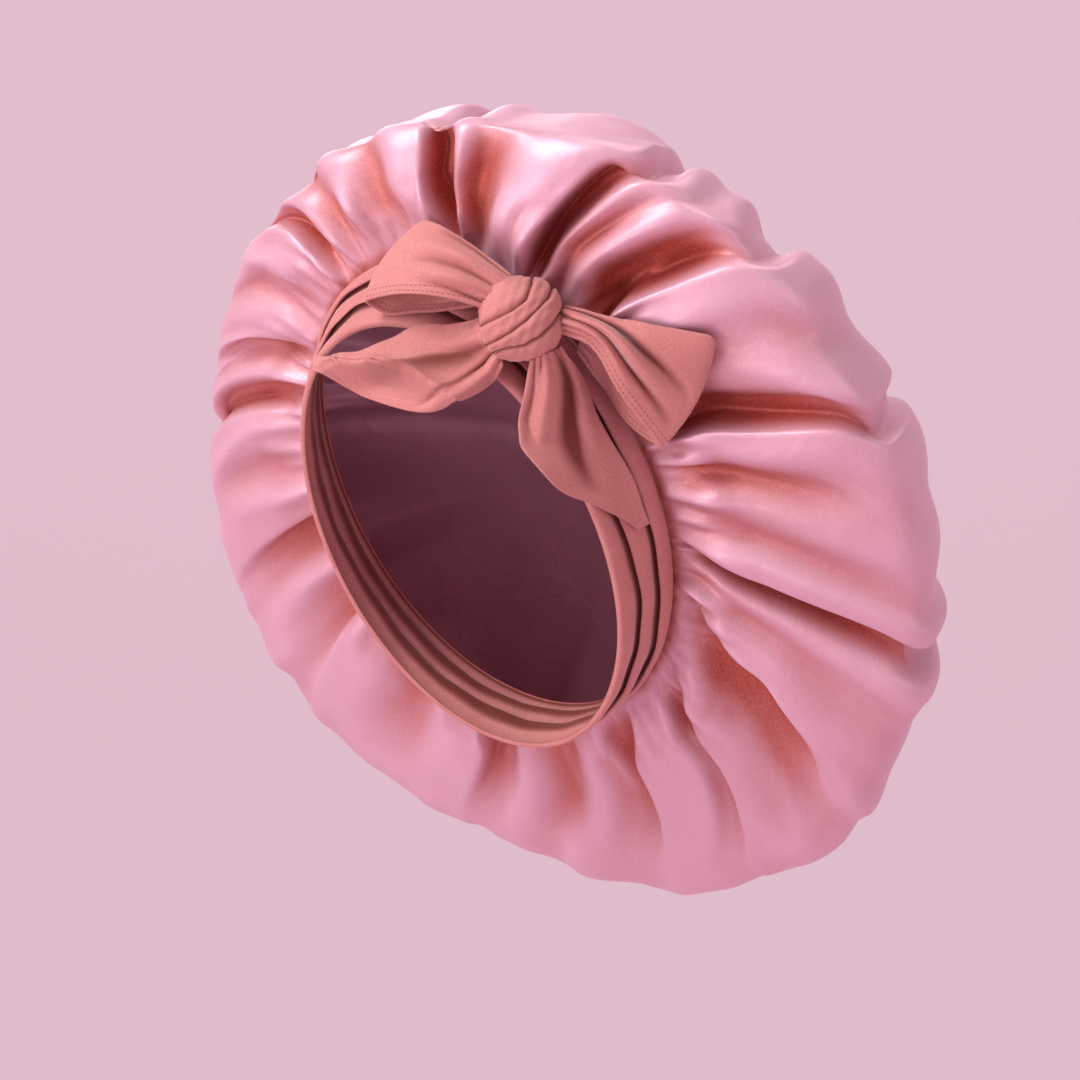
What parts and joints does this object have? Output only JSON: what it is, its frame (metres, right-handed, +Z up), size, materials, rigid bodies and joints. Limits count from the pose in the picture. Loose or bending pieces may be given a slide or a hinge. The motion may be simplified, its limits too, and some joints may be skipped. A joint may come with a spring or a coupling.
{
  "type": "sleep bonnet",
  "caption": "Very full gathered satin sleep bonnet on a wide pleated jersey band, tied in a bow above the wearer's left temple.",
  "frame": {"origin": "the centre of the seam between crown and band, in the middle of the opening that the head goes into", "axes": "+Z up as worn, -Y the way the face looks, +X the wearer's left; the seam's plane leans back 30 degrees"},
  "size_m": [0.4184, 0.2918, 0.3828],
  "materials": {
    "crown": "glossy pink satin",
    "band": "matt dusty rose brushed jersey",
    "bow_knot": "matt dusty rose brushed jersey",
    "loop_left": "matt dusty rose brushed jersey",
    "loop_right": "matt dusty rose brushed jersey",
    "tail_left": "matt dusty rose brushed jersey",
    "tail_right": "matt dusty rose brushed jersey"
  },
  "bodies": {
    "root": {"crown": "crown", "band": "band", "bow_knot": "bow_knot", "loop_left": "loop_left", "loop_right": "loop_right", "tail_left": "tail_left", "tail_right": "tail_right"}
  },
  "joints": []
}
